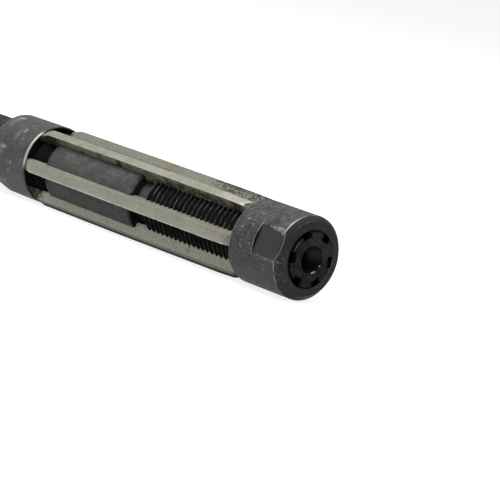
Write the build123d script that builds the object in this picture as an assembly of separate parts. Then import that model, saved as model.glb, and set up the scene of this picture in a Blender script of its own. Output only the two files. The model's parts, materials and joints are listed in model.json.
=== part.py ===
from build123d import *
import os
from math import atan, ceil, degrees, hypot, radians, tan

# Adjustable hand reamer. A slotted, threaded steel body carries six loose blades in slots whose
# floors rise towards the shank. A nut on each side holds the blades in its conical mouth. Both nuts
# screwed towards the shank push the blades up their slots, and the tool cuts a larger hole.
#
# Frame: the origin is on the tool's axis at the body's front face, +X points to the cutting end and
# +Z is up. A station is a distance behind the front face, so x = -station. Lengths are millimetres.
# The tool lies on its nuts, and the two lowest blades just clear the floor.

# Thread, the same for both nuts. The front one is drawn as rings and the rear one as its outside cylinder.
thread_d = 14.0
thread_pitch = 1.5
thread_angle = 60.0
thread_runout = 0.6
bore_clearance = 0.03

# Body
front_chamfer = 1.25
neck_d = 11.0
neck_length = 4.3
plain_d = 15.2
plain_length = 31.0
plain_chamfer = 0.3
rear_relief_d = 11.6
rear_relief_length = 3.0
shank_d = 12.0
shank_length = 42.0
square_across_flats = 9.0
square_length = 12.0
square_corner_d = 11.6
shank_chamfer = 0.6
centre_angle = 60.0
centre_mouth_d = 5.9
centre_pilot_d = 2.5
centre_pilot_depth = 7.0
drill_point_angle = 118.0
rear_centre_mouth_d = 5.0

# Slots and blades
blade_count = 6
first_blade_angle = -100.0
blade_thickness = 2.3
blade_d = 19.0
blade_length = 79.7
blade_travel = 33.0
slot_slope = 0.027
slot_floor_front_d = 8.8
slot_side_clearance = 0.03
slot_floor_clearance = 0.04
margin_width = 0.3
relief_angle = 15.0
taper_length = 32.0
taper_drop = 0.2
lead_length = 8.4
lead_drop = 0.3

# Nuts
mouth_slope = 0.297
blade_end_clearance = 0.3
bevel_clearance = 0.08
edge_break = 0.2

front_nut_d = 18.0
front_nut_length = 15.2
front_nut_setback = 0.4
front_nut_rim = 0.5
front_mouth_bottom_d = 14.2
front_nut_crown_d = 15.5
front_nut_crown = 1.25
front_nut_across_flats = 16.8
front_nut_flat_length = 8.0
front_nut_flat_turn = -76.0

rear_nut_d = 18.3
rear_nut_length = 14.8
rear_nut_rim = 0.4
rear_mouth_bottom_d = 15.2
rear_nut_crown_d = 16.0
rear_nut_crown = 1.1
rear_nut_across_flats = 16.8
rear_nut_flat_length = 6.5
rear_nut_flat_turn = -150.0

# Stations and radii worked out from the sizes above
crest_r = thread_d / 2
sharp_thread_depth = thread_pitch / 2 / tan(radians(thread_angle / 2))
root_r = crest_r - 17 / 24 * sharp_thread_depth
bore_r = crest_r + bore_clearance

front_mouth_r = front_nut_d / 2 - front_nut_rim
rear_mouth_r = rear_nut_d / 2 - rear_nut_rim
front_mouth_depth = (front_mouth_r - front_mouth_bottom_d / 2) / mouth_slope
rear_mouth_depth = (rear_mouth_r - rear_mouth_bottom_d / 2) / mouth_slope

front_nut_back = front_nut_setback + front_nut_length
blade_front = front_nut_back - front_mouth_depth + blade_end_clearance
blade_back = blade_front + blade_length
rear_nut_front = blade_back - rear_mouth_depth + blade_end_clearance
rear_nut_back = rear_nut_front + rear_nut_length

front_nut_travel = blade_travel * (1 - slot_slope / mouth_slope)
rear_nut_travel = blade_travel * (1 + slot_slope / mouth_slope)

front_thread_end = front_nut_back + front_nut_travel + thread_runout
plain_front = front_thread_end + neck_length
plain_back = plain_front + plain_length
rear_thread_start = plain_back + rear_relief_length
rear_thread_end = rear_nut_back + rear_nut_travel + thread_runout
shank_back = rear_thread_end + shank_length
body_length = shank_back + square_length
past_end = 1.0


def turned(points):
    """A solid turned about the tool's axis from (station, radius) points, which start and end on the axis
    or close on themselves."""
    outline = Polyline([(-station, radius) for station, radius in points], close=True)
    return revolve(make_face(outline), Axis.X)


def thread_rings(start, end):
    """Points of ring-shaped grooves at the thread's pitch, which stand for its helix. They begin after a
    crest at the start and leave a crest before the end."""
    points = []
    for turn in range(ceil((end - start) / thread_pitch) - 1):
        crest = start + turn * thread_pitch
        points += [(crest + thread_pitch / 2, root_r), (crest + thread_pitch, crest_r)]
    return points


def centre_hole(station, mouth_d, direction):
    """The 60 degree centre and its pilot hole, cut inwards from an end face."""
    cone_depth = (mouth_d - centre_pilot_d) / 2 / tan(radians(centre_angle / 2))
    point_depth = centre_pilot_d / 2 / tan(radians(drill_point_angle / 2))
    return turned([
        (station, 0),
        (station, mouth_d / 2),
        (station + direction * cone_depth, centre_pilot_d / 2),
        (station + direction * centre_pilot_depth, centre_pilot_d / 2),
        (station + direction * (centre_pilot_depth + point_depth), 0),
    ])


def around(shape, angle):
    """Turns a shape made with +Z as its outward direction to an angle from +Z towards +Y."""
    return Rot(-angle, 0, 0) * shape


def slot_floor(station):
    """Radius of the slots' floors, which rise towards the shank."""
    return slot_floor_front_d / 2 + slot_slope * station


def make_slot(angle):
    """Cutter for one blade slot. It runs out of the thread where its floor reaches the surface."""
    width = blade_thickness + 2 * slot_side_clearance
    outside = slot_floor(body_length) + plain_d
    side = make_face(Polyline([
        (past_end, slot_floor(-past_end)),
        (-body_length, slot_floor(body_length)),
        (-body_length, outside),
        (past_end, outside),
    ], close=True))
    cutter = extrude(Plane.XZ * side, -width)
    return around(Pos(0, -slot_side_clearance, 0) * cutter, angle)


def make_body():
    points = [(0, 0), (0, crest_r - front_chamfer), (front_chamfer, crest_r)]
    points += thread_rings(front_chamfer, front_thread_end)
    points += [
        (front_thread_end, crest_r),
        (front_thread_end + thread_runout, neck_d / 2),
        (plain_front, neck_d / 2),
        (plain_front, plain_d / 2 - plain_chamfer),
        (plain_front + plain_chamfer, plain_d / 2),
        (plain_back - plain_chamfer, plain_d / 2),
        (plain_back, plain_d / 2 - plain_chamfer),
        (plain_back, rear_relief_d / 2),
        (rear_thread_start - thread_runout, rear_relief_d / 2),
        (rear_thread_start, crest_r),
        (rear_thread_end, crest_r),
        (rear_thread_end, shank_d / 2),
        (shank_back, shank_d / 2),
        (shank_back, square_corner_d / 2),
        (body_length - shank_chamfer, square_corner_d / 2),
        (body_length, square_corner_d / 2 - shank_chamfer),
        (body_length, 0),
    ]
    body = turned(points)
    for index in range(blade_count):
        body -= make_slot(first_blade_angle + index * 360 / blade_count)
    for quarter in range(4):
        slab = Box(square_length, shank_d, shank_d)
        middle = shank_back + square_length / 2
        body -= Rot(90 * quarter, 0, 0) * Pos(-middle, 0, square_across_flats / 2 + shank_d / 2) * slab
    body -= centre_hole(0, centre_mouth_d, 1)
    body -= centre_hole(body_length, rear_centre_mouth_d, -1)
    return body


def at(line, station):
    """The (station, radius) point of an outline line. A line is (station, radius, slope)."""
    start, radius, slope = line
    return station, radius + slope * (station - start)


def meeting(first, second):
    """The (station, radius) point where two outline lines cross."""
    (station_1, radius_1, slope_1), (station_2, radius_2, slope_2) = first, second
    station = (radius_2 - slope_2 * station_2 - radius_1 + slope_1 * station_1) / (slope_1 - slope_2)
    return at(first, station)


def above(line, y, relief):
    """A block, larger than the blade, outside a plane that holds an outline line at y and falls across the
    blade by relief."""
    station, radius, slope = line
    size = 4 * blade_length
    block = Pos(0, 0, size / 2) * Box(size, size, size)
    return Pos(-station, y, radius) * Rot(0, degrees(atan(slope)), 0) * Rot(-relief, 0, 0) * block


def make_blade(angle):
    """One blade. Its cutting face is the radial plane y = 0, and its back is at y = blade_thickness. It is
    ground round along its outline, and its land is relieved behind a narrow margin."""
    full_r = blade_d / 2
    lead_start = front_nut_back + lead_length
    taper_start = lead_start + taper_length
    front_bevel = (front_nut_back, front_mouth_r - bevel_clearance, mouth_slope)
    lead = (lead_start, full_r - taper_drop, lead_drop / lead_length)
    taper = (taper_start, full_r, taper_drop / taper_length)
    full = (taper_start, full_r, 0)
    rear_bevel = (rear_nut_front, rear_mouth_r - bevel_clearance, -mouth_slope)
    outline = [
        (blade_front, 0),
        at(front_bevel, blade_front),
        meeting(front_bevel, lead),
        meeting(lead, taper),
        meeting(taper, full),
        meeting(full, rear_bevel),
        at(rear_bevel, blade_back),
        (blade_back, 0),
    ]
    middle = (blade_front + blade_back) / 2
    bar = Pos(-middle, blade_thickness / 2, full_r) * Box(2 * blade_length, blade_thickness, 2 * full_r)
    blade = turned(outline) & bar
    for line in (lead, taper, full):
        blade -= above(line, margin_width, relief_angle)
    blade &= above((0, slot_floor(0) + slot_floor_clearance, slot_slope), 0, 0)
    return around(blade, angle)


def make_nut(face, edge, nut_d, crown_d, crown, mouth_r, mouth_depth, across_flats, flat_length, flat_turn):
    """A nut between its face, crowned by a ball centred on the axis, and the edge whose conical mouth holds
    the blades. It has two wrench flats."""
    inward = 1 if edge > face else -1
    nut = turned([
        (face, bore_r),
        (face, nut_d / 2),
        (edge - inward * edge_break, nut_d / 2),
        (edge, nut_d / 2 - edge_break),
        (edge, mouth_r),
        (edge - inward * mouth_depth, mouth_r - mouth_slope * mouth_depth),
        (edge - inward * mouth_depth, bore_r),
    ])
    ball_depth = (crown ** 2 + (nut_d ** 2 - crown_d ** 2) / 4) / crown / 2
    ball = Rot(0, 90, 0) * Sphere(hypot(ball_depth, crown_d / 2))
    nut &= Pos(-face - inward * ball_depth, 0, 0) * ball
    for turn in (flat_turn, flat_turn + 180):
        middle = face + inward * flat_length / 2
        slab = Pos(-middle, 0, across_flats / 2 + nut_d / 2) * Box(flat_length, 2 * nut_d, nut_d)
        nut -= around(slab, turn)
    return nut


parts = {
    "body": make_body(),
    "front_nut": make_nut(
        front_nut_setback, front_nut_back, front_nut_d, front_nut_crown_d, front_nut_crown,
        front_mouth_r, front_mouth_depth,
        front_nut_across_flats, front_nut_flat_length, front_nut_flat_turn,
    ),
    "rear_nut": make_nut(
        rear_nut_back, rear_nut_front, rear_nut_d, rear_nut_crown_d, rear_nut_crown,
        rear_mouth_r, rear_mouth_depth,
        rear_nut_across_flats, rear_nut_flat_length, rear_nut_flat_turn,
    ),
}
for index in range(blade_count):
    parts[f"blade_{index + 1}"] = make_blade(first_blade_angle + index * 360 / blade_count)

os.makedirs("parts", exist_ok=True)
for name, shape in parts.items():
    export_step(shape, f"parts/{name}.step")

print(f"length {body_length:.2f}, front nut {front_nut_setback:.2f} to {front_nut_back:.2f}")
print(f"rear nut {rear_nut_front:.2f} to {rear_nut_back:.2f}")
print(f"blades {blade_front:.2f} to {blade_back:.2f}")
print(f"front thread to {front_thread_end:.2f}, plain part {plain_front:.2f} to {plain_back:.2f}")
print(f"rear thread {rear_thread_start:.2f} to {rear_thread_end:.2f}, shank to {shank_back:.2f}")
print(f"travel: front nut {front_nut_travel:.3f}, blades {blade_travel:.3f}, rear nut {rear_nut_travel:.3f}")
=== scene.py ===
"""The looks of an adjustable hand reamer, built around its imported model. Lengths here are millimetres,
and a station is a distance behind the body's front face, so x = -station."""
import json
from math import acos, atan2, ceil, degrees, floor, radians, tan
from types import SimpleNamespace

import bmesh
import bpy
import numpy as np
from mathutils import Matrix, Vector


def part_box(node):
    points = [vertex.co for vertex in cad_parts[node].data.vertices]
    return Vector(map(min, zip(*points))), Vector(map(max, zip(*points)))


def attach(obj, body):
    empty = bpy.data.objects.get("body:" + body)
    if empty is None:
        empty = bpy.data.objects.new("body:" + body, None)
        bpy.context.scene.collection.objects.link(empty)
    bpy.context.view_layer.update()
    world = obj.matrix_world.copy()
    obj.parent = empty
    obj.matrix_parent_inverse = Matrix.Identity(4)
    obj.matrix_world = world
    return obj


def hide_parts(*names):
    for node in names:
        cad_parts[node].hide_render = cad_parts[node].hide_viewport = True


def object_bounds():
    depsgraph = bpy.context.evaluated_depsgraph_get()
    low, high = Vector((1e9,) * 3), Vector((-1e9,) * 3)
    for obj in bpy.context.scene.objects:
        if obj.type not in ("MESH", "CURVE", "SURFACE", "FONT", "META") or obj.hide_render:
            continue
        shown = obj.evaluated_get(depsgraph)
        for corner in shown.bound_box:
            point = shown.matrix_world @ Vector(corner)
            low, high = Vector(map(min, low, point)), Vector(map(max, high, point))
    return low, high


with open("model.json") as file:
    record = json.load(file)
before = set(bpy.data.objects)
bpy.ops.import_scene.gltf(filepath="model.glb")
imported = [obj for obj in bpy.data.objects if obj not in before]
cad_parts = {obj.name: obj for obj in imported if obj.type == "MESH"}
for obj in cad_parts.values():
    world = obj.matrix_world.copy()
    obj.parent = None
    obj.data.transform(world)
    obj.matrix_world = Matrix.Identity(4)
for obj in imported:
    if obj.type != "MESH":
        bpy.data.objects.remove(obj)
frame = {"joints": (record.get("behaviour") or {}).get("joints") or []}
cad_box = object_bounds()

mm = 0.001
weld_distance = 1e-7


def span(node):
    """The stations of a node's two ends, read from the frame."""
    low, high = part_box(node)
    return -high[0] / mm, -low[0] / mm


# Sizes read from the frame
body_length = span("body")[1]
blade_front, blade_back = span("blade_1")
blade_way = next(joint["axis"] for joint in frame["joints"] if joint["name"] == "blade_1_slide")
first_blade_angle = degrees(atan2(blade_way[1], blade_way[2]))

# The tool lies turned about its axis by this angle from its upright place, where blade 1 points to -Y
tool_turn = -90 - first_blade_angle

# Thread. A crest passes the station thread_lag in line with blade 1.
thread_pitch = 1.5
thread_lag = 0.89
thread_phase = thread_lag - thread_pitch * first_blade_angle / 360
thread_runout = 0.6
crest_r = 7.0
root_r = 6.08
nut_minor_r = 6.19
nut_major_r = 7.04

# Body
front_chamfer_r = 5.75
front_thread_end = 46.2
neck_r = 5.5
neck_fillet = 0.15
plain_front = 50.5
plain_back = 81.5
plain_r = 7.6
plain_chamfer = 0.3
relief_r = 5.8
rear_thread_start = 84.5
rear_thread_end = 138.71
shank_r = 6.0
shank_back = 180.71
square_half = 4.5
square_corner_r = 5.8
square_ledge = 0.04
shank_chamfer = 0.6
body_edge_break = 0.05

# Centre holes, and how the edge of their mouths is broken, as steps inwards and outwards from it
centre_mouth_r = 2.95
rear_centre_mouth_r = 2.5
centre_pilot_r = 1.25
centre_pilot_depth = 7.0
centre_half_angle = 30.0
drill_half_angle = 59.0
centre_edge = ((0.06, -0.035), (0.0, 0.03))

# Slots and blades
blade_count = 6
slot_pitch = 360 / blade_count
blade_thickness = 2.3
blade_r = 9.5
slot_slope = 0.027
slot_floor_front = 4.4
slot_side_clearance = 0.03
slot_floor_clearance = 0.04
slot_edge_break = 0.07
blade_edge_break = 0.035
margin_width = 0.3
relief_angle = 15.0
taper_end = 56.0
taper_drop = 0.2
lead_end = 24.0
lead_drop = 0.3
lead_length = 8.4
lead_skew = 0.85
lead_edge_setback = 1.0
bevel_clearance = 0.08

# Nuts
mouth_slope = 0.297
nut_flat_half = 8.4
shoulder_width = 0.06

# Broken edges of the nuts, as steps along the axis and outwards from a corner
bore_edge = ((0.03, -0.02), (0.0, 0.04))
crown_corner = ((-0.03, -0.055), (0.08, -0.018), (0.22, 0.0))
shoulder_edge = ((0.0, -0.02), (0.05, 0.0))
back_corner = ((-0.2, 0.0), (-0.13, -0.03), (-0.05, -0.12), (0.0, -0.2))
mouth_edge = ((0.0, 0.06), (-0.06, -0.02))


def nut_sizes(face, edge, **sizes):
    """A nut's sizes and what follows from them. Its face is its crowned end, and its edge is the rim of its
    conical mouth. The crown is part of a ball."""
    nut = SimpleNamespace(face=face, edge=edge, **sizes)
    nut.inward = 1 if edge > face else -1
    nut.length = abs(edge - face)
    nut.mouth_r = nut.radius - nut.rim
    nut.mouth_depth = (nut.mouth_r - nut.mouth_bottom_r) / mouth_slope
    nut.mouth_bottom = nut.edge - nut.inward * nut.mouth_depth
    nut.shoulder = nut.flat_length + shoulder_width
    nut.crease = degrees(acos(nut_flat_half / nut.radius))
    nut.ball_depth = (nut.crown ** 2 + nut.radius ** 2 - nut.crown_r ** 2) / nut.crown / 2
    nut.ball_r = np.hypot(nut.ball_depth, nut.crown_r)
    return nut


front_nut = nut_sizes(
    *span("front_nut"), radius=9.0, crown_r=7.75, crown=1.25, rim=0.5, mouth_bottom_r=7.1,
    flat_length=8.0, flat_turn=first_blade_angle + 24.0,
)
rear_nut = nut_sizes(
    *reversed(span("rear_nut")), radius=9.15, crown_r=8.0, crown=1.1, rim=0.4, mouth_bottom_r=7.6,
    flat_length=6.5, flat_turn=first_blade_angle - 50.0,
)

# Camera, as the photograph was taken, around the upright tool
view_target = (-9.345, -8.589, 0.801)
view_distance = 470.0
view_azimuth = 47.942
view_elevation = 15.205
view_roll = 4.353
view_lens = 166.716


# Places around the tool

def slot_floor(station):
    """How far a slot's floor lies from the axis. It rises towards the shank."""
    return slot_floor_front + slot_slope * station


def blade_angle(index):
    """The outward direction of a blade, in degrees from +Z towards +Y."""
    return first_blade_angle + index * slot_pitch


def placed(angle, across, out):
    """(y, z) of a point of a blade or slot that points outwards at an angle."""
    turn = np.radians(angle)
    return out * np.sin(turn) + across * np.cos(turn), out * np.cos(turn) - across * np.sin(turn)


def around(angles, radius):
    """(y, z) of points at angles, in degrees, on a radius about the axis."""
    turn = np.radians(angles)
    return radius * np.sin(turn), radius * np.cos(turn)


def stacked(station, y, z):
    """One array of (station, y, z) points from three arrays or numbers."""
    return np.stack(np.broadcast_arrays(station, y, z), axis=-1).astype(float)


def circle_row(angles, station, radius):
    """A row of points on a circle about the axis."""
    return stacked(station, *around(angles, radius))


def turn_from(angle, middle):
    """The signed difference of two angles, in degrees."""
    return (angle - middle + 180) % 360 - 180


def arc_from(angle, radius, middle):
    """The signed distance around the tool from an angle, in millimetres."""
    return np.radians(turn_from(angle, middle)) * radius


# Meshes and painted numbers

def add_object(name, data):
    """A new object in the scene, at the origin."""
    made = bpy.data.objects.new(name, data)
    bpy.context.scene.collection.objects.link(made)
    return made


def skin(name, points, closed_rows=False, caps=()):
    """An object from a grid of (station, y, z) points, welded where points meet. Caps are rows to fill."""
    rows, columns = points.shape[:2]
    index = np.arange(rows * columns).reshape(rows, columns)
    if closed_rows:
        index = np.concatenate([index, index[:, :1]], axis=1)
    corners = [index[:-1, :-1], index[1:, :-1], index[1:, 1:], index[:-1, 1:]]
    faces = np.stack(corners, axis=-1).reshape(-1, 4).tolist()
    for row in caps:
        faces.append(index[row, :columns].tolist())
    mesh = bpy.data.meshes.new(name)
    mesh.from_pydata((points.reshape(-1, 3) * (-mm, mm, mm)).tolist(), [], faces)
    shape = bmesh.new()
    shape.from_mesh(mesh)
    bmesh.ops.remove_doubles(shape, verts=shape.verts, dist=weld_distance)
    bmesh.ops.recalc_face_normals(shape, faces=shape.faces)
    shape.to_mesh(mesh)
    shape.free()
    return add_object(name, mesh)


def smooth(piece, sharp_angle):
    """Smooth shading, with creases over an angle kept sharp."""
    piece.data.shade_smooth()
    piece.data.set_sharp_from_angle(angle=radians(sharp_angle))


def places(piece):
    """The station, radius and angle of each vertex, as arrays in millimetres and degrees."""
    flat = np.empty(3 * len(piece.data.vertices))
    piece.data.vertices.foreach_get("co", flat)
    x, y, z = flat.reshape(-1, 3).T / mm
    return -x, np.hypot(y, z), np.degrees(np.arctan2(y, z))


def paint(piece, **painted):
    """Stores numbers from 0 to 1 for each vertex, under names that the piece's material reads."""
    for name, values in painted.items():
        layer = piece.data.attributes.new(name, "FLOAT", "POINT")
        layer.data.foreach_set("value", np.clip(values, 0, 1).astype(np.float32))


def eased(share):
    """A share held between 0 and 1, with soft ends."""
    share = np.clip(share, 0, 1)
    return share * share * (3 - 2 * share)


def near(value, middle, reach):
    """1 at the middle, falling smoothly to 0 at reach from it."""
    return eased(1 - np.abs(value - middle) / reach)


def between(value, start, end, soft):
    """1 between two values, falling smoothly to 0 over soft outside them."""
    return eased((value - start) / soft + 1) * eased((end - value) / soft + 1)


def on_side(angle, upright_angle, reach):
    """1 at an angle on the upright tool, falling smoothly to 0 at reach degrees from it."""
    return near(turn_from(angle, upright_angle - tool_turn), 0, reach)


def marks(piece, spots):
    """Soft round marks. A spot is its station, its angle on the upright tool, and its reach along and around
    the tool."""
    station, radius, angle = places(piece)
    total = np.zeros(len(station))
    for at, spot_angle, length, width in spots:
        around_by = arc_from(angle, radius, spot_angle - tool_turn)
        total = np.maximum(total, near(np.hypot((station - at) / length, around_by / width), 0, 1))
    return total


def painted_marks(piece, named):
    """The marks of each name, ready to paint."""
    return {name: marks(piece, spots) for name, spots in named.items()}


# Threads

def two_flanks(half):
    """A thread's profile from its points on one side of a crest. A point is its distance from the crest, as a
    share of the pitch, and its radius."""
    return [(-offset, radius) for offset, radius in half] + half[::-1]


body_thread = two_flanks([(0.44, root_r), (0.4, root_r + 0.04), (0.08, crest_r - 0.045), (0.05, crest_r)])
nut_thread = two_flanks([(0.44, nut_minor_r), (0.385, nut_minor_r), (0.06, nut_major_r)])


def thread_radius(profile, station, angles):
    """The radius of a thread at stations and angles."""
    share = ((station - thread_phase) / thread_pitch - angles / 360 + 0.5) % 1 - 0.5
    offsets, radii = zip(*profile)
    return np.interp(share, (offsets[-1] - 1, *offsets, offsets[0] + 1), (radii[-1], *radii, radii[0]))


def helix_stations(profile, angles, start, end):
    """Rows of stations that follow the thread between two stations, over columns at rising angles. The first
    and the last row are plain circles, so that the thread's ends close."""
    rows = [np.full(len(angles), start)]
    first_turn = floor((start - thread_phase) / thread_pitch) - 2
    last_turn = ceil((end - thread_phase) / thread_pitch) + 2
    for turn in range(first_turn, last_turn + 1):
        for offset, radius in profile:
            station = thread_phase + thread_pitch * (turn + offset + angles / 360)
            if station.max() > start and station.min() < end:
                rows.append(np.clip(station, start, end))
    rows.append(np.full(len(angles), end))
    return rows


# Body

wall_shares = (0.0, 1 / 3, 2 / 3, 1.0)
face_shares = (0.0, 1 / 3, 2 / 3, 0.84, 0.91, 0.96, 1.0)
cone_shares = (1.0, 0.66, 0.33)
cone_end = 0.4
floor_columns = 3
land_columns = 10
plain_row_step = 1.5
shank_row_count = 15
shank_row_gap = 0.5
left_wall = -slot_side_clearance
right_wall = blade_thickness + slot_side_clearance
rear_run_in = rear_thread_start - thread_runout


def body_columns():
    """(kind, slot angle, share) of each column of the body's grid in order around the axis. A land column
    lies between the slot before its slot and its own slot."""
    columns = []
    for index in range(blade_count):
        angle = blade_angle(index)
        columns.append(("land", angle, 1.0))
        columns += [("left", angle, share) for share in reversed(wall_shares)]
        columns += [("floor", angle, (step + 1) / (floor_columns + 1)) for step in range(floor_columns)]
        columns += [("right", angle, share) for share in wall_shares]
        columns += [("land", angle + slot_pitch, step / land_columns) for step in range(land_columns)]
    return columns + [("land", blade_angle(0) + 360, 1.0)]


def across_slot(kind, share):
    """How far across its slot a wall's or the floor's column lies."""
    if kind == "floor":
        return left_wall + share * (right_wall - left_wall)
    return left_wall if kind == "left" else right_wall


def cut_row(columns, station, radius, rise=1.0, edge=slot_edge_break):
    """A row of body points at a station and outside radius, cut by the slots. Rise says how much of a step
    from the slots' depth to that radius the row has climbed."""
    station = np.broadcast_to(station, len(columns))
    radius = np.broadcast_to(radius, len(columns))
    points = []
    for (kind, angle, share), s, r in zip(columns, station, radius):
        base = slot_floor(s)
        left_corner = min(np.hypot(base, left_wall), r)
        right_corner = min(np.hypot(base, right_wall), r)
        if kind == "land":
            corner = right_corner + share * (left_corner - right_corner)
            reach = corner + rise * (r - corner)
            start_break = min(edge, (r - right_corner) / 2)
            end_break = min(edge, (r - left_corner) / 2)
            start = angle - slot_pitch + degrees(np.arcsin(min((right_wall + start_break) / reach, 1)))
            end = angle - degrees(np.arcsin((end_break - left_wall) / reach))
            y, z = around(start + share * (end - start), reach)
        else:
            across = across_slot(kind, share)
            if kind == "floor":
                reach = min(np.hypot(base, across), r)
            else:
                corner = left_corner if kind == "left" else right_corner
                depth = r - corner
                reach = corner + min(share, rise) * (depth - min(edge, depth / 2))
            y, z = placed(angle, across, np.sqrt(max(reach * reach - across * across, 0)))
        points.append((s, y, z))
    return np.array(points)


def column_angles(columns, radius):
    """The angle of each column where it meets a radius, with all columns of a slot wall at one angle."""
    angles = []
    for kind, angle, share in columns:
        if kind == "land":
            start = angle - slot_pitch + degrees(np.arcsin(right_wall / radius))
            end = angle + degrees(np.arcsin(left_wall / radius))
            angles.append(start + share * (end - start))
        else:
            angles.append(angle + degrees(np.arcsin(across_slot(kind, share) / radius)))
    return np.array(angles)


def centre_rows(angles, end, mouth_r, direction):
    """Rows of a centre hole, from the drill's point out to the end face."""
    slope = tan(radians(centre_half_angle))
    cone = (mouth_r - centre_pilot_r) / slope
    point = centre_pilot_r / tan(radians(drill_half_angle))
    profile = [(centre_pilot_depth + point, 0.0), (centre_pilot_depth, centre_pilot_r)]
    profile += [(share * cone, mouth_r - share * (mouth_r - centre_pilot_r)) for share in cone_shares]
    profile.append((cone_end, mouth_r - cone_end * slope))
    profile += [(depth, mouth_r + out) for depth, out in centre_edge]
    return [circle_row(angles, end + direction * depth, radius) for depth, radius in profile]


def face_rows(columns, angles):
    """Rows of the front centre hole and of the face, which the slots cut."""
    even = angles[0] + np.linspace(0, 360, len(columns))
    rows = centre_rows(even, 0.0, centre_mouth_r, 1)
    face = [cut_row(columns, 0.0, front_chamfer_r - body_edge_break, rise, 0.0) for rise in face_shares]
    return rows + [(rows[-1] + face[0]) / 2] + face


def front_thread_limit(station):
    """The front thread's largest radius: its start is chamfered, and it runs out into the neck."""
    slope = (crest_r - neck_r) / thread_runout
    return np.minimum(front_chamfer_r + station, crest_r - np.maximum(station - front_thread_end, 0) * slope)


def rear_thread_limit(station):
    """The rear thread's largest radius: it rises from the relief, and its end is chamfered to the shank."""
    slope = (crest_r - relief_r) / thread_runout
    return np.minimum(relief_r + (station - rear_run_in) * slope, shank_r + rear_thread_end - station)


def thread_rows(columns, angles, start, end, limit):
    """Rows of the body's thread between two stations, held under a limit and cut by the slots."""
    def radius(station):
        return np.minimum(thread_radius(body_thread, station, angles), limit(station))

    stations = helix_stations(body_thread, angles, start, end)
    return [cut_row(columns, station, radius(station)) for station in stations]


def plain_rows(columns):
    """Rows of the neck, the plain part and the relief behind it."""
    corner_r = plain_r - plain_chamfer
    inside = np.arange(plain_front + plain_chamfer, plain_back - plain_chamfer, plain_row_step)
    steps = [
        (0.5 * (front_thread_end + plain_front), neck_r),
        (plain_front - neck_fillet, neck_r),
        (plain_front, neck_r + neck_fillet),
        *((plain_front, corner_r, rise, 0.0) for rise in wall_shares),
        *((station, plain_r) for station in (*inside, plain_back - plain_chamfer)),
        *((plain_back, corner_r, rise, 0.0) for rise in reversed(wall_shares)),
        (plain_back, relief_r + neck_fillet),
        (plain_back + neck_fillet, relief_r),
    ]
    return [cut_row(columns, *step) for step in steps]


def square_angles(count):
    """Column angles of the square end: each quarter has a rounded corner and a flat."""
    crease = degrees(acos(square_half / square_corner_r))
    corner = (-45.0, -42.0, 42.0)
    quarter = [*corner, *np.linspace(-crease, crease, count // 4 - len(corner))]
    return np.array(sorted(90 * turn + step for turn in range(4) for step in quarter))


def square_radius(angles, corner_r):
    """Radius of the square end at angles, with its corners turned to a radius."""
    off = (angles + 45) % 90 - 45
    return np.minimum(square_half / np.cos(np.radians(off)), corner_r)


def shank_rows(angles):
    """Rows of the shank, whose columns turn to those of the square, and of the square and its centre hole."""
    squared = square_angles(len(angles) - 1)
    offsets = turn_from(squared, angles[0])
    first = angles[0] + offsets[np.argmin(np.abs(offsets))]
    squared = np.sort(first + np.round((squared - first) % 360, 6) % 360)
    squared = np.append(squared, squared[0] + 360)
    rows = []
    shares = np.linspace(0, 1, shank_row_count)
    stations = np.linspace(rear_thread_end + shank_row_gap, shank_back - body_edge_break, shank_row_count)
    for share, station in zip(shares, stations):
        rows.append(circle_row(angles + share * (squared - angles), station, shank_r))
    rows.append(circle_row(squared, shank_back, shank_r - body_edge_break))
    outline = square_radius(squared, square_corner_r)
    for station in (shank_back, shank_back + square_ledge, body_length - shank_chamfer):
        rows.append(circle_row(squared, station, outline))
    end_outline = square_radius(squared, square_corner_r - shank_chamfer)
    rows.append(circle_row(squared, body_length, end_outline))
    rows.append(circle_row(squared, body_length, (end_outline + rear_centre_mouth_r) / 2))
    return rows + centre_rows(squared, body_length, rear_centre_mouth_r, -1)[::-1]


body_marks = {
    "worn": [(0.0, -50, 0.5, 2.6), (0.0, -103, 0.5, 0.5)],
    "land": [(0.0, 10, 1.0, 4.0), (0.0, 75, 1.0, 3.0)],
    # glint: a painted highlight on the lower rim of the front centre hole
    "glint": [(0.1, 166, 0.8, 1.25), (0.1, 124, 0.5, 0.25)],
    "hole_side": [(1.5, 75, 2.5, 2.2)],
}


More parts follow.
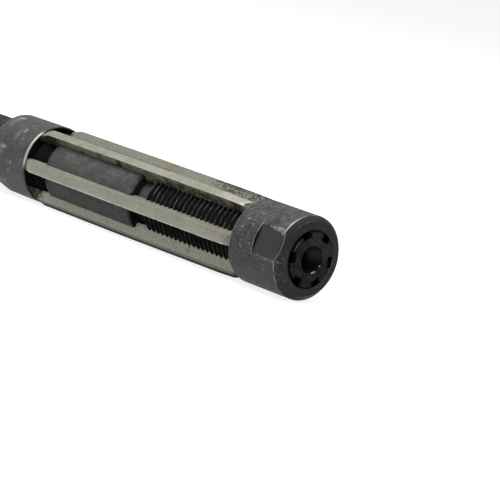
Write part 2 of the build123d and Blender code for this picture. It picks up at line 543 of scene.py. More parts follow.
def paint_body(piece):
    """Where the body's threads, plain surfaces, gaps, holes and worn places lie, and where painted light and
    shade go.
    """
    station, radius, angle = places(piece)
    crest_band = 0.1
    face_depth = 0.04
    face_edge_r = front_chamfer_r - 0.02
    plain_edge = plain_front + plain_chamfer
    lit = 1 - on_side(angle, -122, 62)
    front_thread = between(station, 0.2, front_thread_end, 0.2)
    behind_nut = between(station, rear_nut.face - 1.0, rear_thread_end, 0.5)
    under_nut = 0.55 * between(station, rear_nut.edge + 1.5, rear_thread_end, 1.0)
    dull_front = between(station, 0.2, plain_front, 0.2)
    dull_rear = between(station, plain_back, rear_thread_end, 0.2)
    on_crest = np.clip((radius - crest_r + crest_band) / crest_band, 0, 1)
    on_neck = between(station, front_thread_end + thread_runout, plain_front - 0.2, 0.3)
    on_plain = between(station, plain_edge + 0.5, plain_back, 0.7) * (radius > crest_r - crest_band)
    on_face = between(station, -1.0, face_depth, 0.3) * (radius > centre_mouth_r)
    marked = painted_marks(piece, body_marks)
    marked["worn"] *= near(radius, front_chamfer_r - 0.14, 0.1)
    marked["land"] *= on_face
    marked["glint"] *= 1.3 * near(radius, centre_mouth_r - 0.09, 0.2)
    paint(
        piece,
        crest=np.maximum(front_thread, behind_nut) * on_crest,
        thread=dull_front + dull_rear,
        # the neck's grey-green tone, painted only on its lit side as painted light
        neck=on_neck * lit,
        # the plain part's grey, fading over its last 2.5 mm as a painted shadow of the rear nut
        plain=on_plain * between(station, 0, plain_back - 2.5, 5.0),
        tail=np.maximum(between(station, rear_thread_end - 0.5, body_length, 1.0), under_nut),
        face=on_face * (radius < face_edge_r),
        # painted shade in the gap between the body's front end and the nut
        gap=between(station, -1.0, 1.2, 0.3) * (radius > face_edge_r),
        # painted shade inside the centre hole
        hole=(radius < centre_mouth_r - 0.02) * between(station, -1.0, 9.0, 0.5),
        # the plain part's worn chamfer edge, painted only on its lit side as painted light
        edge=near(station, plain_edge, 0.25) * (radius > plain_r - plain_chamfer - 0.1) * lit,
        **marked,
    )


def make_body():
    """The body in one skin, from the front centre hole over its threads and shank to the rear one."""
    columns = body_columns()
    angles = column_angles(columns, crest_r)
    front_end = front_thread_end + thread_runout
    rows = face_rows(columns, angles)
    rows += thread_rows(columns, angles, body_edge_break, front_end, front_thread_limit)
    rows += plain_rows(columns)
    rows += thread_rows(columns, angles, rear_run_in, rear_thread_end, rear_thread_limit)
    rows += shank_rows(angles)
    piece = skin("body_shape", np.array(rows))
    smooth(piece, 28)
    paint_body(piece)
    return piece


# Nuts

face_circles = 6
crown_circles = 20
side_circles = 22
mouth_shares = (0.2, 0.4, 0.6, 0.8, 1.0)


def nut_columns(nut):
    """Rising column angles of a nut, with one on each crease beside its two flats."""
    angles = set(np.arange(-180, 180, 1.0).tolist())
    for turn in (nut.flat_turn, nut.flat_turn + 180):
        for side in (-nut.crease, nut.crease):
            angles.add(float(turn_from(turn + side, 0)))
    angles = sorted(angles)
    return np.array(angles + [angles[0] + 360])


def nut_bore_rows(nut, angles):
    """Rows of a nut's thread, chamfered at its face and at the bottom of its mouth."""
    rows = []
    low, high = sorted((nut.face, nut.mouth_bottom))
    for station in helix_stations(nut_thread, angles, low, high):
        radius = thread_radius(nut_thread, station, angles)
        radius = np.minimum(radius, nut_minor_r + np.abs(station - nut.face))
        radius = np.maximum(radius, nut.mouth_bottom_r - np.abs(station - nut.mouth_bottom))
        rows.append(circle_row(angles, station, radius))
    return rows[::-1] if nut.inward > 0 else rows


def crown_radius(nut, depth):
    """The radius of a nut's crown at depths behind its face."""
    return np.sqrt(np.maximum(nut.ball_r ** 2 - (nut.ball_depth - depth) ** 2, 0))


def corner(depth, radius, steps):
    """Profile points at steps along the axis and outwards from a corner."""
    return [(depth + along, radius + out) for along, out in steps]


def level(start, end, radius):
    """Profile points on one radius, from one depth to another."""
    return [(depth, radius) for depth in np.linspace(start, end, side_circles)]


def nut_profile(nut):
    """(depth behind the face, radius) of a nut's outside, from its bore over the crown into its mouth."""
    face_radii = np.linspace(nut_minor_r + 0.3, nut.crown_r - 0.05, face_circles)
    crown_depths = np.linspace(0.01, nut.crown - 0.12, crown_circles)
    mouth_drop = nut.mouth_r - nut.mouth_bottom_r
    profile = corner(0.0, nut_minor_r, bore_edge)
    profile += [(0.0, radius) for radius in face_radii]
    profile += [(depth, crown_radius(nut, depth)) for depth in crown_depths]
    profile += corner(nut.crown, nut.radius, crown_corner)
    profile += level(nut.crown + 0.45, nut.flat_length - 0.1, nut.radius)
    profile.append((nut.flat_length, nut.radius))
    profile += corner(nut.shoulder, nut.radius, shoulder_edge)
    profile += level(nut.shoulder + 0.3, nut.length - 0.3, nut.radius)
    profile += corner(nut.length, nut.radius, back_corner)
    profile += corner(nut.length, nut.mouth_r, mouth_edge)
    profile += [(nut.length - s * nut.mouth_depth, nut.mouth_r - s * mouth_drop) for s in mouth_shares]
    return profile


def nut_outside_rows(nut, angles):
    """Rows of a nut's outside, cut by its two flats."""
    flat_r = np.full(len(angles), np.inf)
    for turn in (nut.flat_turn, nut.flat_turn + 180):
        off = np.radians(turn_from(angles, turn))
        flat_r = np.where(np.abs(off) < radians(60), nut_flat_half / np.cos(off), flat_r)
    rows = []
    for depth, radius in nut_profile(nut):
        limited = np.minimum(radius, flat_r if depth <= nut.flat_length else np.inf)
        rows.append(circle_row(angles, nut.face + nut.inward * depth, limited))
    return rows


def paint_nut(piece, nut):
    """Where a nut's faces, edges, flats and painted shade lie. The two nuts share these, and each finish
    reads its own.
    """
    station, radius, angle = places(piece)
    depth = (station - nut.face) * nut.inward
    slack = 0.01
    off_flat = np.abs(turn_from(angle, nut.flat_turn))
    flat_distance = radius * np.cos(np.radians(off_flat))
    outer = radius > nut.mouth_bottom_r + 0.4
    cut_away = radius < nut.radius - slack
    on_flat = (off_flat < nut.crease + 0.2) * (depth > 0.3) * (depth < nut.flat_length + slack)
    on_wall = (depth > nut.flat_length - slack) * (depth < nut.shoulder + slack)
    by_shoulder = (radius > nut.radius - 0.04) * (off_flat < nut.crease + 1)
    on_crown = near(radius, crown_radius(nut, depth), 0.08) * (depth < nut.crown)
    paint(
        piece,
        flat=on_flat * cut_away,
        face=between(depth, -1.0, nut.crown * 0.75, 0.3) * (radius < nut.radius - 0.12),
        # painted shade: inside the bore and at the bottom of the mouth
        inside=~outer & (depth > 0.1),
        rim=near(depth, nut.crown + 0.02, 0.2) * outer * (off_flat > nut.crease - 2),
        flat_rim=on_crown * near(flat_distance, nut_flat_half, 0.12) * outer,
        crown=between(depth, 0.02, nut.crown - 0.1, 0.1) * outer,
        ring=near(radius, nut.crown_r + 0.25, 0.12) * (depth < 0.6),
        lip=near(radius, nut_minor_r + 0.09, 0.09) * (depth < 0.1),
        back_rim=near(depth, nut.length - 0.1, 0.25) * outer,
        shoulder=near(depth, nut.shoulder + 0.06, 0.1) * by_shoulder,
        # painted shadow: the step wall behind the flat
        wall=on_wall * cut_away * (off_flat < nut.crease - 0.5),
        back=between(depth, nut.length - 4.5, nut.length, 3.0) * outer,
        # painted shade: the underside of each nut is darkened
        underside=on_side(angle, -165, 65) * outer,
    )


def make_nut(name, nut):
    """A nut in one skin, from its threaded bore over the crowned face and the flats to its conical mouth."""
    angles = nut_columns(nut)
    piece = skin(name, np.array(nut_bore_rows(nut, angles) + nut_outside_rows(nut, angles)))
    smooth(piece, 24)
    paint_nut(piece, nut)
    return piece


# Blades

side_heights = (0.0, 0.2, 0.4, 0.6, 0.8, 0.93)
land_columns_across = (margin_width, 0.75, 1.25, 1.75, blade_thickness)
foot_shares = (0.66, 0.33)
bevel_row_gaps = (0.3, 0.2)


def blade_outline(station):
    """The radii of a blade's end bevels and of its taper at a station."""
    front_bevel = front_nut.mouth_r - bevel_clearance + mouth_slope * (station - front_nut.edge)
    rear_bevel = rear_nut.mouth_r - bevel_clearance - mouth_slope * (station - rear_nut.edge)
    taper_r = blade_r - np.maximum(taper_end - station, 0) * taper_drop / (taper_end - lead_end)
    return np.minimum(front_bevel, rear_bevel), taper_r


def lead_crease(across):
    """The station where the lead ends, at a place across the blade."""
    return lead_end + lead_skew * across - lead_edge_setback


def bevel_top(station, across):
    """How far out the end bevels reach at a station and a place across the blade."""
    return np.sqrt(blade_outline(station)[0] ** 2 - across ** 2)


def blade_top(station, across):
    """How far out the blade's top lies at a station and a place across it."""
    taper_r = blade_outline(station)[1]
    lead_r = blade_r - taper_drop - (lead_crease(across) - station) * lead_drop / lead_length
    ground = np.minimum(taper_r, lead_r)
    behind = max(across - margin_width, 0) * tan(radians(relief_angle))
    round_drop = ground - np.sqrt(ground ** 2 - min(across, margin_width) ** 2)
    return np.minimum(ground - round_drop - behind, bevel_top(station, across))


def bevel_crease(across, end, inside):
    """The station between a blade's end and a station on its land where the bevel ends."""
    bevel, land = end, inside
    for halving in range(40):
        middle = (bevel + land) / 2
        if blade_top(middle, across) - bevel_top(middle, across) + 1e-6 > 0:
            bevel = middle
        else:
            land = middle
    return bevel


def front_crease(across):
    """The station where the front bevel ends, at a place across the blade."""
    return bevel_crease(across, blade_front, lead_end)


def blade_stations(across):
    """Stations of a blade's rows at a place across it, gathered at its creases."""
    front = front_crease(across)
    rear = bevel_crease(across, blade_back, taper_end)
    stretches = [(front - gap, count) for gap, count in zip(bevel_row_gaps, (7, 1))]
    stretches += [(front, 1), (lead_crease(across), 8), (taper_end, 36), (rear, 34), (blade_back, 5)]
    stations = [blade_front]
    for end, count in stretches:
        stations += np.linspace(stations[-1], end, count + 1)[1:].tolist()
    return np.array(stations)


def blade_loop():
    """(across, height as a share) of each column around a blade: cutting face, land, back and foot."""
    loop = [(0.0, height) for height in (*side_heights, 1.0)]
    loop += [(across, 1.0) for across in land_columns_across]
    loop += [(blade_thickness, height) for height in reversed(side_heights)]
    return loop + [(blade_thickness * share, 0.0) for share in foot_shares]


def paint_blade(piece, index):
    """Where a blade's bevel, lead, edges and sides lie."""
    station, radius, angle = places(piece)
    turn = np.radians(turn_from(angle, blade_angle(index)))
    across, out = radius * np.sin(turn), radius * np.cos(turn)
    top = np.array([blade_top(s, min(max(a, 0), blade_thickness)) for s, a in zip(station, across)])
    sides = (0.0, blade_thickness)
    crease = np.interp(across, sides, [front_crease(side) for side in sides])
    before_crease = station < crease - 0.25
    on_land = near(out, top, 0.05)
    below_top = top - out > 0.06
    paint(
        piece,
        # the land by the cutting edge, where the bottom blade takes painted shade
        far_edge=on_land * near(across, 0, 3.4),
        # the front bevel before its crease, which takes painted shade
        bevel=on_land * (top > bevel_top(station, across) - 0.02) * before_crease,
        lead=on_land * between(station, 0, lead_crease(across), 0.12) * ~before_crease,
        cutting=near(across, 0, 0.12) * below_top,
        heel=near(across, blade_thickness, 0.12) * below_top,
        cutting_edge=near(across, 0, 0.14) * near(out, top, 0.14),
        # depth below the top, which the finish uses for painted shade lower down
        depth=(top - out) / 3.5,
    )


def make_blade(index):
    """One blade: a ground bar with a cutting face, a margin, a relieved land and a back."""
    columns = []
    for across, height in blade_loop():
        stations = blade_stations(across)
        top = np.array([blade_top(station, across) for station in stations])
        bottom = slot_floor(stations) + slot_floor_clearance
        y, z = placed(blade_angle(index), across, bottom + height * (top - bottom))
        columns.append(stacked(stations, y, z))
    piece = skin(f"blade_{index + 1}_shape", np.stack(columns, axis=1), closed_rows=True, caps=(0, -1))
    bevel = piece.modifiers.new("ground edge", "BEVEL")
    bevel.width = blade_edge_break * mm
    bevel.segments = 2
    bevel.limit_method = "ANGLE"
    bevel.angle_limit = radians(38)
    smooth(piece, 20)
    paint_blade(piece, index)
    return piece


# Materials

def fill(tree, node, inputs):
    """Sets or links a node's inputs, by their names or numbers. A string names a painted number."""
    for name, value in inputs.items():
        socket = node.inputs[name]
        if isinstance(value, str):
            value = add_node(tree, "Attribute", {}, attribute_name=value).outputs["Fac"]
        if isinstance(value, bpy.types.NodeSocket):
            tree.links.new(value, socket)
        else:
            socket.default_value = (*value, 1) if socket.type == "RGBA" else value


def add_node(tree, kind, inputs, **settings):
    """A new node with its settings and its inputs."""
    node = tree.nodes.new("ShaderNode" + kind)
    for name, setting in settings.items():
        setattr(node, name, setting)
    fill(tree, node, inputs)
    return node


class Finish:
    """A procedural material, whose colour is built up in layers. A value is a number, a colour, a node's
    output or the name of a painted number. Sizes are millimetres."""

    def __init__(self, name, gloss):
        self.material = bpy.data.materials.new(name)
        self.material.use_nodes = True
        self.tree = self.material.node_tree
        self.shader = self.tree.nodes["Principled BSDF"]
        self.shader.inputs["Specular IOR Level"].default_value = gloss
        metres = self.node("TexCoord", {}).outputs["Object"]
        self.place = self.node("VectorMath", {0: metres, "Scale": 1 / mm}, operation="SCALE").outputs[0]
        self.colour = None

    def node(self, kind, inputs, **settings):
        return add_node(self.tree, kind, inputs, **settings)

    def math(self, operation, first, *others):
        """One number from several, taken in order."""
        result = first
        for other in others:
            result = self.node("Math", {0: result, 1: other}, operation=operation).outputs[0]
        return result

    def times(self, *values):
        return self.math("MULTIPLY", *values)

    def plus(self, *values):
        return self.math("ADD", *values)

    def most(self, *values):
        return self.math("MAXIMUM", *values)

    def without(self, value):
        """What a value leaves of 1."""
        return self.math("SUBTRACT", 1.0, value)

    def mix(self, share, first, second):
        """A colour between two colours."""
        inputs = {"Factor": share, "A": first, "B": second}
        return self.node("Mix", inputs, data_type="RGBA").outputs["Result"]

    def ramp(self, value, start, end, low=0.0, high=1.0):
        """Carries a value from start..end to low..high, smoothly and held at both ends."""
        inputs = {"Value": value, "From Min": start, "From Max": end, "To Min": low, "To Max": high}
        return self.node("MapRange", inputs, interpolation_type="SMOOTHSTEP").outputs["Result"]

    def noise(self, size, detail=3.0, roughness=0.6, stretch=(1, 1, 1), seed=0.0):
        """Noise with features of about a size, longer where stretch is over 1."""
        scale = tuple(1 / (size * way) for way in stretch)
        scaled = self.node("VectorMath", {0: self.place, 1: scale}, operation="MULTIPLY").outputs[0]
        inputs = {"Vector": scaled, "W": seed, "Scale": 1.0, "Detail": detail, "Roughness": roughness}
        return self.node("TexNoise", inputs, noise_dimensions="4D").outputs["Fac"]

    def clouds(self, levels, *noise, **more):
        """Noise carried from its levels to 0..1. The levels are the ramp's numbers."""
        return self.ramp(self.noise(*noise, **more), *levels)

    def specks(self, size, level, seed):
        """Small separate spots. A lower level gives more of them."""
        return self.clouds((level, level + 0.09), size, 2.0, seed=seed)

    def scratches(self, length, width, level, way, seed):
        """Thin lines that run along one axis of the tool, where way is its index."""
        stretch = tuple(length / width if axis == way else 1.0 for axis in range(3))
        return self.clouds((level, level + 0.06), width, 1.0, 0.5, stretch, seed)

    def ragged(self, amount, size, seed):
        """A painted mark with a broken edge."""
        return self.ramp(self.plus(amount, self.noise(size, 3.0, 0.7, seed=seed)), 0.86, 1.08)

    def cover(self, colour, *shares):
        """Lays a colour over the colour so far, as strongly as the product of the shares."""
        self.colour = self.mix(self.times(*shares), self.colour, colour)

    def bump(self, height, depth, strength):
        """Fine relief of a depth."""
        inputs = {"Height": height, "Distance": depth * mm, "Strength": strength}
        fill(self.tree, self.shader, {"Normal": self.node("Bump", inputs).outputs["Normal"]})

    def finish(self, roughness, metallic):
        """The material, in its colour so far."""
        inputs = {"Base Color": self.colour, "Roughness": roughness, "Metallic": metallic}
        fill(self.tree, self.shader, inputs)
        return self.material


def black_nut_finish():
    """Black oxide, handled and scratched, with bare metal on the worn edges, painted highlights on some
    edges, and painted shade.
    """
    f = Finish("black_nut_finish", 0.22)
    broad = f.noise(4.0, seed=1)
    grain = f.noise(1.0, 5.0, 0.72, seed=2)
    front = f.most("crown", "face")
    side = f.times(f.without("flat"), f.without(front))
    f.colour = f.mix(f.ramp(broad, 0.3, 0.7), (0.023, 0.025, 0.025), (0.044, 0.046, 0.046))
    f.cover((0.115, 0.118, 0.11), f.ramp(grain, 0.45, 0.72), side, 0.7)
    pits = f.clouds((0.4, 0.52, 1.0, 0.0), 0.8, 4.0, 0.75, seed=16)
    f.cover((0.013, 0.013, 0.014), pits, side, 0.55)
    dark_patches = f.clouds((0.48, 0.64), 1.3, 3.0, 0.7, (2, 1, 1), 13)
    f.cover((0.018, 0.018, 0.014), "back", dark_patches, 0.35)
    f.cover((0.032, 0.033, 0.035), "flat", 0.85)
    clouded_black = f.mix(f.ramp(grain, 0.5, 0.8), (0.01, 0.01, 0.012), (0.045, 0.045, 0.045))
    f.cover(clouded_black, front, 0.8)
    handled = f.most(f.clouds((0.4, 0.6), 2.4, seed=3), "back")
    dots = f.times(f.specks(0.42, 0.6, 4), f.ramp(handled, 0.0, 1.0, 0.3, 1.0), side)
    crown_dots = f.times(f.specks(0.5, 0.5, 15), "crown_left", 0.45)
    f.cover((0.215, 0.215, 0.19), f.most(dots, crown_dots), 0.75)
    lines = f.most(
        f.times(f.scratches(1.8, 0.13, 0.64, 0, 5), 0.6),
        f.times(f.scratches(1.5, 0.12, 0.65, 1, 6), 0.7),
        f.times(f.scratches(1.5, 0.12, 0.65, 2, 14), 0.7),
    )
    f.cover((0.21, 0.21, 0.195), lines, side, f.ramp(handled, 0.0, 1.0, 0.4, 1.0))
    thin = f.clouds((0.42, 0.56), 1.4, seed=8)
    # bare edges, with painted highlights on the upper rim and on one side of the lip
    bare = f.most(
        f.times("rim", f.ramp(f.plus(thin, "rim_highlight_spots"), 0.3, 1.0)),
        f.times("flat_rim", 0.9),
        f.times("back_rim", f.clouds((0.42, 0.62), 0.7, 4.0, 0.65, seed=7), 0.7),
        f.times("shoulder", f.clouds((0.36, 0.56), 1.2, seed=9)),
        f.times("ring", thin, "ring_side", 0.25),
        f.times("lip", "lip_side", 0.9),
        "nick",
    )
    f.cover((0.27, 0.268, 0.25), bare)
    broken = f.plus(f.times("wear", 0.45), f.noise(0.55, 4.0, 0.75, seed=10))
    rubbed = f.times(f.ramp(broken, 0.7, 0.86), f.ramp("wear", 0.0, 0.2))
    f.cover(f.mix(f.ramp(grain, 0.4, 0.65), (0.1, 0.1, 0.08), (0.29, 0.28, 0.225)), rubbed, 0.85)
    # painted shade on the nut's underside
    f.cover((0.008, 0.008, 0.009), "underside", 0.8)
    # painted shadow on the step wall behind the flat
    f.cover((0.008, 0.008, 0.009), "wall", 0.9)
    # painted shade inside the bore
    f.cover((0.002, 0.002, 0.002), "inside", 0.95)
    f.bump(f.plus(f.times(grain, 0.6), f.times(f.noise(0.2, 2.0, seed=12), 0.4)), 0.03, 0.5)
    return f.finish(f.most(f.ramp(grain, 0.3, 0.7, 0.42, 0.6), "inside"), f.times(bare, 0.6))


def grey_nut_finish():
    """Grey steel with a satin, smudged surface, a bare front rim with a painted highlight, and painted shade.
    """
    f = Finish("grey_nut_finish", 0.25)
    broad = f.noise(2.6, seed=21)
    fine = f.noise(0.5, seed=22)
    f.colour = f.mix(f.ramp(broad, 0.3, 0.7), (0.038, 0.041, 0.038), (0.06, 0.064, 0.06))
    f.cover((0.095, 0.098, 0.092), f.ramp(fine, 0.4, 0.75, 0.0, 0.4))
    smears = f.clouds((0.54, 0.7), 1.1, 3.0, 0.6, (1.2, 1.6, 1.6), 23)
    f.cover((0.165, 0.168, 0.16), smears, 0.4)
    smudges = f.clouds((0.36, 0.6), 1.6, 4.0, 0.7, seed=26)
    f.cover((0.2, 0.205, 0.195), "wear", smudges, 0.5)
    f.cover((0.27, 0.275, 0.26), f.ragged("patch", 0.6, 27), 0.5)
    # painted shade on the nut's underside
    f.cover((0.01, 0.01, 0.011), "underside", 0.8)
    # the rim's bare metal, with a painted highlight on one stretch
    bare = f.most("bare_rim", f.times("rim", f.clouds((0.42, 0.6), 2.0, seed=25), 0.4))
    f.cover((0.5, 0.495, 0.46), bare)
    # painted shade inside the bore
    f.cover((0.008, 0.008, 0.009), "inside", 0.9)
    f.bump(f.plus(f.times(fine, 0.5), f.times(broad, 0.5)), 0.03, 0.35)
    return f.finish(f.ramp(fine, 0.3, 0.7, 0.42, 0.56), f.times(bare, 0.6))


def body_finish():
    """Black oxide steel: near black in the threads, worn to grey on the plain part and the shank, with
    painted light and shade.
    """
    f = Finish("body_finish", 0.08)
    broad = f.noise(3.0, 4.0, seed=31)
    fine = f.noise(0.4, seed=32)
    f.colour = f.mix(f.ramp(broad, 0.3, 0.7), (0.004, 0.004, 0.005), (0.009, 0.009, 0.01))
    # painted light: grey-green on the lit side of the neck
    f.cover((0.07, 0.082, 0.078), "neck", 0.85)
    grey = f.mix(f.ramp(broad, 0.3, 0.72), (0.05, 0.052, 0.05), (0.082, 0.085, 0.081))
    grey = f.mix(f.clouds((0.52, 0.72, 0.0, 0.5), 0.9, seed=37), grey, (0.15, 0.152, 0.145))
    # the plain part's grey, with a painted shadow at its rear end
    f.cover(grey, "plain")
    f.cover(grey, "tail", 0.9)
    bright_crests = f.clouds((0.4, 0.62, 0.1, 1.0), 2.2, 3.0, 0.65, seed=33)
    f.cover((0.105, 0.105, 0.1), f.ramp("crest", 0.55, 0.95), bright_crests, 0.9)
    end = f.mix(f.clouds((0.45, 0.68), 1.1, 4.0, 0.65, seed=39), (0.007, 0.007, 0.009), (0.04, 0.04, 0.041))
    end = f.mix(f.times(f.specks(0.3, 0.62, 38), 0.6), end, (0.16, 0.16, 0.155))
    f.cover(end, "face", 0.9)
    f.cover((0.085, 0.085, 0.083), "land", f.ramp(fine, 0.35, 0.65), 0.6)
    # worn edges; the chamfer edge shows only on its lit side, as painted light
    worn = f.most(
        f.times("worn", f.clouds((0.3, 0.5), 0.6, seed=34)),
        f.times("edge", f.clouds((0.42, 0.66), 1.5, seed=35), 0.3),
    )
    f.cover((0.24, 0.24, 0.235), worn)
    # painted shade in the gap at the front end
    f.cover((0.001, 0.001, 0.001), "gap", 0.95)
    # painted shade in the centre hole, with a lighter brown tone on one wall
    f.cover(f.mix(f.times("hole_side", 0.8), (0.005, 0.005, 0.006), (0.08, 0.073, 0.06)), "hole", 0.95)
    # painted highlight at the lower rim of the centre hole
    glint = f.ragged("glint", 0.25, 36)
    f.cover((0.5, 0.5, 0.45), glint)
    f.bump(fine, 0.02, 0.5)
    dull = f.times(f.most("thread", "gap", "hole"), 0.85)
    return f.finish(f.most(f.ramp(fine, 0.3, 0.7, 0.42, 0.6), dull), f.times(f.most(worn, glint), 0.6))


def blade_finish(name, seed, lead=0.15, edge=0.5, olive=0.25, bevel=0.6, cutting=0.2, heel=0.2,
                 cutting_face_light=0.0, heel_light=0.0, land_shade=0.0):
    """Ground tool steel, with fine lines across it and the stains of one blade, and painted light and shade.
    The shares say how strongly each place of the blade shows its colour or its painted light and shade."""
    f = Finish(name, 0.12)
    lines = f.noise(0.16, 2.0, 0.6, (1, 22, 22), seed)
    broad = f.noise(6.0, 3.0, 0.55, (2, 1, 1), seed + 1)
    fine = f.noise(0.5, seed=seed + 2)
    f.colour = f.mix(f.ramp(broad, 0.3, 0.7), (0.25, 0.25, 0.196), (0.313, 0.313, 0.259))
    f.cover((0.38, 0.375, 0.315), f.ramp(lines, 0.35, 0.65, 0.0, 0.45))
    f.cover((0.165, 0.16, 0.115), f.ramp(fine, 0.5, 0.72, 0.0, 0.36))
    f.cover((0.4, 0.39, 0.335), "lead", lead)
    worn_edge = f.clouds((0.36, 0.5), 0.8, 3.0, 0.6, (3, 1, 1), seed + 6)
    f.cover((0.55, 0.545, 0.49), "cutting_edge", worn_edge, edge)
    patches = f.clouds((0.5, 0.68), 3.0, 4.0, 0.65, (1.5, 1, 1), seed + 4)
    f.cover((0.15, 0.14, 0.085), patches, olive)
    sides = f.most(f.times("cutting", cutting), f.times("heel", heel))
    # painted light: the heel and the cutting face lightened by their shares, brighter than ground steel
    bright = f.most(f.times("heel", heel_light), f.times("cutting", cutting_face_light))
    f.cover(f.mix(f.ramp(fine, 0.4, 0.65), (0.84, 0.83, 0.69), (0.64, 0.62, 0.49)), bright)
    # olive-brown stain on the sides, with painted shade that makes it stronger further down towards the slot
    f.cover((0.185, 0.17, 0.125), sides, f.ramp("depth", 0.0, 0.45, 0.55, 0.95))
    stains = f.plus(f.noise(1.6, 4.0, 0.7, (1.8, 1, 1), seed + 3), f.times("stain", 0.07))
    f.cover((0.03, 0.024, 0.013), sides, f.ramp(stains, 0.52, 0.64), 0.85)
    # painted shade on the sides next to the nuts, with one dark patch mid-blade
    shade_and_patch_noise = f.plus(f.times("shade_and_dark_patch", 0.75), f.noise(0.9, 3.0, 0.75, (1.5, 1, 1), seed + 9))
    shade_and_dark_patch = f.times(f.most("cutting", "heel"), f.ramp(shade_and_patch_noise, 0.82, 1.25))
    f.cover((0.022, 0.019, 0.012), shade_and_dark_patch, 0.95)
    mottle = f.plus(f.noise(0.42, 3.0, 0.7, (1.5, 1, 1), seed + 5), f.times("mottle", 0.24))
    spots = f.times(f.ramp(mottle, 0.66, 0.78), f.ramp("mottle", 0.0, 0.2))
    spots = f.most(spots, f.times("dark_edge", 0.9))
    f.cover((0.028, 0.027, 0.02), spots, 0.9)
    rust = f.times("rust", f.clouds((0.4, 0.54), 0.7, 4.0, 0.7, (2, 1, 1), seed + 7))
    f.cover((0.22, 0.155, 0.08), rust, 0.8)
    # painted shade: the bottom blade's land, which faces down, darkened most at its cutting edge
    shaded_land = f.times("far_edge", land_shade)
    f.cover((0.01, 0.01, 0.008), shaded_land)
    # painted shade on the front bevel, where it runs into the nut's mouth
    bevel_shade_noise = f.clouds((0.35, 0.6, 0.6, 1.0), 0.5, 3.0, 0.7, seed=seed + 8)
    f.cover((0.02, 0.019, 0.013), "bevel", bevel_shade_noise, bevel)
    # painted shade deep down the sides, near the slot's floor
    f.cover((0.022, 0.02, 0.014), f.ramp("depth", 0.8, 1.05), 0.6)
    f.bump(lines, 0.008, 0.6)
    shaded_bevel = f.times("bevel", bevel)
    dull = f.most(spots, shade_and_dark_patch, f.times(sides, 0.8), rust, shaded_land, f.times(bright, 0.6), shaded_bevel)
    return f.finish(f.most(f.ramp(lines, 0.3, 0.7, 0.4, 0.54), shaded_land), f.times(f.without(dull), 0.6))


# Worn places, and painted light and shade

front_marks = {
    "nick": [(12.1, -82, 0.4, 0.3), (13.3, -58, 0.35, 0.65), (12.7, -45, 0.4, 0.4), (1.05, -88, 0.3, 0.28),
             (9.6, -76, 0.35, 0.35), (2.0, -33, 0.4, 0.35), (4.6, -104, 0.35, 0.35)],
    # painted highlights on the crown rim's upper stretches
    "rim_highlight_spots": [(1.6, -28, 3.0, 5.5), (1.6, -91, 3.0, 1.6)],
    "ring_side": [(0.5, -20, 2.0, 4.0)],
}
rear_marks = {
    "wear": [(97.2, -72, 2.2, 2.0), (98.8, -20, 2.0, 3.4), (94.0, -42, 1.2, 3.0)],
    "patch": [(98.3, -12, 2.2, 0.7), (92.6, -34, 0.9, 1.5), (96.4, -67.5, 2.4, 0.9), (92.7, -87, 0.8, 1.0),
              (93.5, -100, 0.8, 1.0)],
}
blade_marks = {
    "stain": {2: [(42.0, -30, 16.0, 9.0), (24.0, -30, 9.0, 9.0)]},
    "mottle": {
        1: [(22.0, -77, 8.0, 0.7), (40.0, -77, 12.0, 0.5)],
        3: [(21.0, 30, 17.0, 5.0), (31.0, 30, 15.0, 4.0)],
        6: [(31.7, -133, 0.8, 0.8)],
    },
    "rust": {
        1: [(44.5, -77, 3.5, 0.6), (31.9, -77, 3.0, 0.6), (22.3, -77, 3.5, 0.7), (17.5, -80, 2.0, 1.6)],
        3: [(50.5, 28, 4.0, 3.0)],
    },
    # painted shade on the sides next to the nuts, and one dark patch in the middle of blade 2
    "shade_and_dark_patch": {
        2: [(84.0, -30, 9.0, 9.0), (59.0, -30, 3.0, 9.0), (19.5, -30, 4.0, 9.0)],
        6: [(86.0, -150, 6.5, 9.0), (18.4, -150, 1.2, 9.0)],
    },
    "dark_edge": {3: [(29.0, 30, 9.0, 3.0), (19.0, 30, 4.0, 3.0)]},
}
# Painted light: the bottom blade's heel and the back blade's cutting face are lightened. Painted shade: the
# bottom blade's land and the front bevels are darkened.
blade_looks = {
    1: {"edge": 1.0, "olive": 0.12, "bevel": 0.3},
    2: {"lead": 0.5, "cutting": 1.0, "bevel": 1.0},
    3: {"cutting": 0.0, "edge": 0.0, "olive": 0.2, "cutting_face_light": 0.15},
    6: {"heel": 0.0, "heel_light": 0.95, "land_shade": 0.95},
}


def wear_front_nut(piece):
    """The rubbed edges beside the flat, which narrow behind the crown, the crown's and rims' marks, and
    painted highlights on the rim and the lip.
    """
    station, radius, angle = places(piece)
    crown_end = front_nut.face + front_nut.crown
    upper_edge = arc_from(angle, radius, front_nut.flat_turn + 21)
    lower_edge = arc_from(angle, radius, front_nut.flat_turn - 22)
    upper_reach = np.clip(2.0 - 0.28 * station, 0.35, 1.6)
    upper = near(upper_edge, 0, upper_reach) * between(station, crown_end, 6.2, 0.2)
    lower = near(lower_edge, 0, 0.9) * between(station, crown_end, 7.8, 0.2)
    paint(
        piece,
        wear=np.maximum(upper, 0.66 * lower),
        crown_left=on_side(angle, -105, 55) * (station < crown_end) * (radius > 6.6),
        # painted highlight: the lip's bright line is kept to one side
        lip_side=on_side(angle, 120, 60),
        **painted_marks(piece, front_marks),
    )


def wear_rear_nut(piece):
    """Smudges and pale patches, and a painted highlight on a stretch of the front rim."""
    station, radius, angle = places(piece)
    # painted highlight on a stretch of the front rim
    highlight_arc = between(turn_from(angle, -57 - tool_turn), -21, 24, 12)
    highlight_width = between(station, rear_nut.edge - 0.1, rear_nut.edge + 0.35, 0.15)
    bare_rim = highlight_arc * highlight_width * (radius > rear_nut.mouth_r)
    paint(piece, bare_rim=bare_rim, **painted_marks(piece, rear_marks))


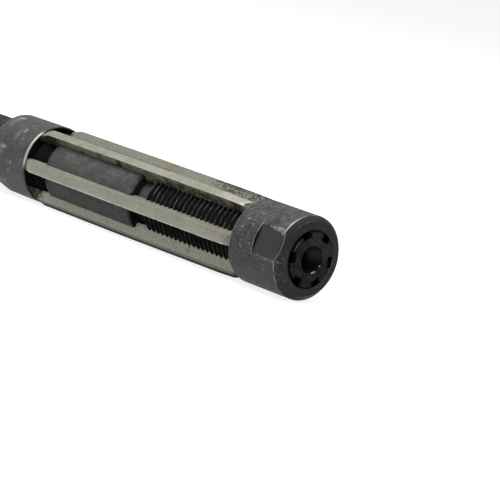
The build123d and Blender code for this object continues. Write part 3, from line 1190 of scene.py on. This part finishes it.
def wear_blade(piece, number):
    """The marks of one blade, with painted shade on its sides next to the nuts. Its dark edge stays near its
    top.
    """
    painted = painted_marks(piece, {name: blades.get(number, []) for name, blades in blade_marks.items()})
    painted["dark_edge"] *= places(piece)[1] > blade_r - 0.75
    paint(piece, **painted)


# Pieces

def dress(piece, node, material):
    """Gives a piece its material and puts it in the place of a node, on the body of the same name."""
    piece.data.materials.append(material)
    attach(piece, node)
    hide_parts(node)


dress(make_body(), "body", body_finish())

front_piece = make_nut("front_nut_shape", front_nut)
wear_front_nut(front_piece)
dress(front_piece, "front_nut", black_nut_finish())

rear_piece = make_nut("rear_nut_shape", rear_nut)
wear_rear_nut(rear_piece)
dress(rear_piece, "rear_nut", grey_nut_finish())

for index in range(blade_count):
    number = index + 1
    blade = make_blade(index)
    wear_blade(blade, number)
    material = blade_finish(f"blade_{number}_finish", 40.0 + 10 * index, **blade_looks.get(number, {}))
    dress(blade, f"blade_{number}", material)


# Floor, lights and camera, in metres

floor_half = 6.0
lamp_target = (-0.045, 0.0, 0.0)


def seen_by(tree, first, second):
    """1 for rays of two kinds and 0 for others."""
    path = add_node(tree, "LightPath", {}).outputs
    rays = {0: path[first], 1: path[second]}
    return add_node(tree, "Math", rays, operation="ADD", use_clamp=True).outputs[0]


def make_stage():
    """A plain pale floor under the tool, wide enough to fill every view, and bright to the camera."""
    low = cad_box[0][2]
    corners = [(x * floor_half, y * floor_half, low) for x, y in ((-1, -1), (1, -1), (1, 1), (-1, 1))]
    mesh = bpy.data.meshes.new("floor")
    mesh.from_pydata(corners, [], [(0, 1, 2, 3)])
    material = bpy.data.materials.new("pale_floor")
    material.use_nodes = True
    tree = material.node_tree
    seen = seen_by(tree, "Is Camera Ray", "Is Glossy Ray")
    glow = add_node(tree, "Math", {0: seen, 1: 0.85}, operation="MULTIPLY")
    fill(tree, tree.nodes["Principled BSDF"], {
        "Base Color": (0.33, 0.33, 0.33), "Roughness": 0.9, "Specular IOR Level": 0.0,
        "Emission Color": (1, 1, 1), "Emission Strength": glow.outputs[0],
    })
    mesh.materials.append(material)
    add_object("floor", mesh)


def make_world():
    """Soft light from all round, and a white background for the camera."""
    world = bpy.data.worlds.new("studio")
    bpy.context.scene.world = world
    world.use_nodes = True
    tree = world.node_tree
    tree.nodes.clear()
    seen = seen_by(tree, "Is Camera Ray", "Is Transmission Ray")
    soft = add_node(tree, "Background", {"Color": (0.93, 0.96, 1.0), "Strength": 0.22})
    white = add_node(tree, "Background", {"Color": (1, 1, 1), "Strength": 1.0})
    choice = add_node(tree, "MixShader", {0: seen, 1: soft.outputs[0], 2: white.outputs[0]})
    add_node(tree, "OutputWorld", {"Surface": choice.outputs[0]})


def looking_at(target, azimuth, elevation, distance, roll=0.0):
    """The place of a camera or lamp that looks down at a point. Azimuth 0 looks along +Y."""
    turn = Matrix.Rotation(radians(azimuth), 4, "Z") @ Matrix.Rotation(radians(90 - elevation), 4, "X")
    turn = turn @ Matrix.Rotation(radians(roll), 4, "Z")
    return Matrix.Translation(Vector(target) + turn @ Vector((0, 0, distance))) @ turn


def add_softbox(name, azimuth, elevation, distance, size, power):
    """A square lamp that looks at the tool from a side."""
    data = bpy.data.lights.new(name, "AREA")
    data.shape = "SQUARE"
    data.size = size
    data.energy = power
    add_object(name, data).matrix_world = looking_at(lamp_target, azimuth, elevation, distance)


def make_camera():
    """The photograph's camera, turned about the tool's axis as the tool is."""
    data = bpy.data.cameras.new("camera")
    data.lens = view_lens
    data.sensor_width = 36
    data.clip_start = 0.01
    camera = add_object("camera", data)
    target = Vector(view_target) * mm
    upright = looking_at(target, view_azimuth, view_elevation, view_distance * mm, view_roll)
    camera.matrix_world = Matrix.Rotation(radians(tool_turn), 4, "X") @ upright
    bpy.context.scene.camera = camera


make_stage()
make_world()
add_softbox("key", azimuth=-10, elevation=70, distance=0.9, size=0.6, power=13.0)
add_softbox("fill", azimuth=60, elevation=25, distance=1.1, size=0.9, power=0.3)
add_softbox("back", azimuth=200, elevation=60, distance=1.0, size=0.8, power=4.0)
make_camera()
bpy.context.scene.view_settings.view_transform = "Standard"
